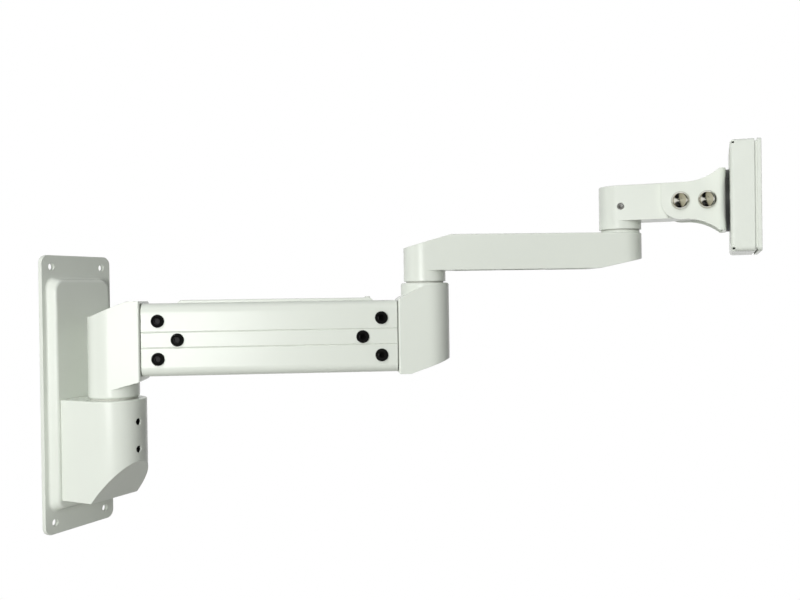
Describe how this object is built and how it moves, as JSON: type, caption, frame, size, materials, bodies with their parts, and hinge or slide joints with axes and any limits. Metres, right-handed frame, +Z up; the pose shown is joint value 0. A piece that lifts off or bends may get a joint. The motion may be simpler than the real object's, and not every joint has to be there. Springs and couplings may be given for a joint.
{
  "type": "monitor wall mount arm",
  "caption": "Folding wall arm for a monitor: a wall plate with a bracket, a main arm, an upper arm and a swivelling, tilting, rotating head with a square plate.",
  "frame": {"origin": "centre of the four wall holes on the wall plate's back face", "axes": "+X out of the wall into the room, +Z up, +Y to the right of someone who faces the wall"},
  "size_m": [0.6918, 0.4111, 0.4067],
  "materials": {
    "painted_steel": "semi-gloss",
    "painted_casting": "semi-gloss paint",
    "black_screws": "black oxide",
    "zinc_steel": "zinc plated",
    "bright_chrome": "polished",
    "spindle_steel": "ground",
    "bush_plastic": "moulded",
    "black_plastic": "moulded"
  },
  "bodies": {
    "wall_mount": {"wall_plate": "painted_steel", "wall_bracket": "painted_casting", "bracket_fixing_screws": "zinc_steel", "friction_set_screws": "black_screws", "base_bush_upper": "bush_plastic", "base_bush_lower": "bush_plastic", "base_thrust_washer": "bush_plastic"},
    "main_arm": {"base_spindle": "spindle_steel", "base_knuckle": "painted_casting", "main_arm_extrusion": "painted_casting", "base_end_screws": "black_screws", "elbow_end_screws": "black_screws", "cable_cover": "painted_casting", "elbow_knuckle": "painted_casting", "elbow_bush_upper": "bush_plastic", "elbow_bush_lower": "bush_plastic", "elbow_thrust_washer": "bush_plastic"},
    "upper_arm": {"elbow_spindle": "spindle_steel", "upper_arm": "painted_casting", "wrist_bush": "bush_plastic", "wrist_thrust_washer": "bush_plastic"},
    "swivel_head": {"wrist_spindle": "spindle_steel", "swivel_block": "painted_casting", "swivel_set_screw": "zinc_steel"},
    "tilt_head": {"tilt_bracket": "painted_steel", "tilt_bolt": "bright_chrome", "tilt_nut": "zinc_steel", "lock_bolt": "bright_chrome", "lock_nut": "zinc_steel", "tilt_friction_washers": "bush_plastic", "rotation_disc": "black_plastic"},
    "plate_head": {"rotation_bolt": "zinc_steel", "rotation_nut": "zinc_steel", "vesa_tray": "painted_steel", "monitor_plate": "painted_steel", "plate_screws": "zinc_steel"}
  },
  "joints": [
    {"name": "base_swivel", "type": "hinge", "parent": "wall_mount", "child": "main_arm", "pos_m": [0.057, 0, -0.004], "axis": [0, 0, 1], "range_deg": [-121.5, 58.5]},
    {"name": "elbow_swivel", "type": "hinge", "parent": "main_arm", "child": "upper_arm", "pos_m": [0.3469, 0.17765, 0.115], "axis": [0, 0, 1], "range_deg": [-158.1, 161.9]},
    {"name": "head_swivel", "type": "hinge", "parent": "upper_arm", "child": "swivel_head", "pos_m": [0.53993, 0.2873, 0.1704], "axis": [0, 0, 1], "range_deg": [-67.4, 112.6]},
    {"name": "head_tilt", "type": "hinge", "parent": "swivel_head", "child": "tilt_head", "pos_m": [0.60553, 0.29536, 0.1992], "axis": [-0.1219, 0.9925, 0], "range_deg": [-15, 15]},
    {"name": "plate_rotation", "type": "hinge", "parent": "tilt_head", "child": "plate_head", "pos_m": [0.60553, 0.29536, 0.1992], "axis": [0.9925, 0.1219, 0], "range_deg": [-90, 90]}
  ]
}
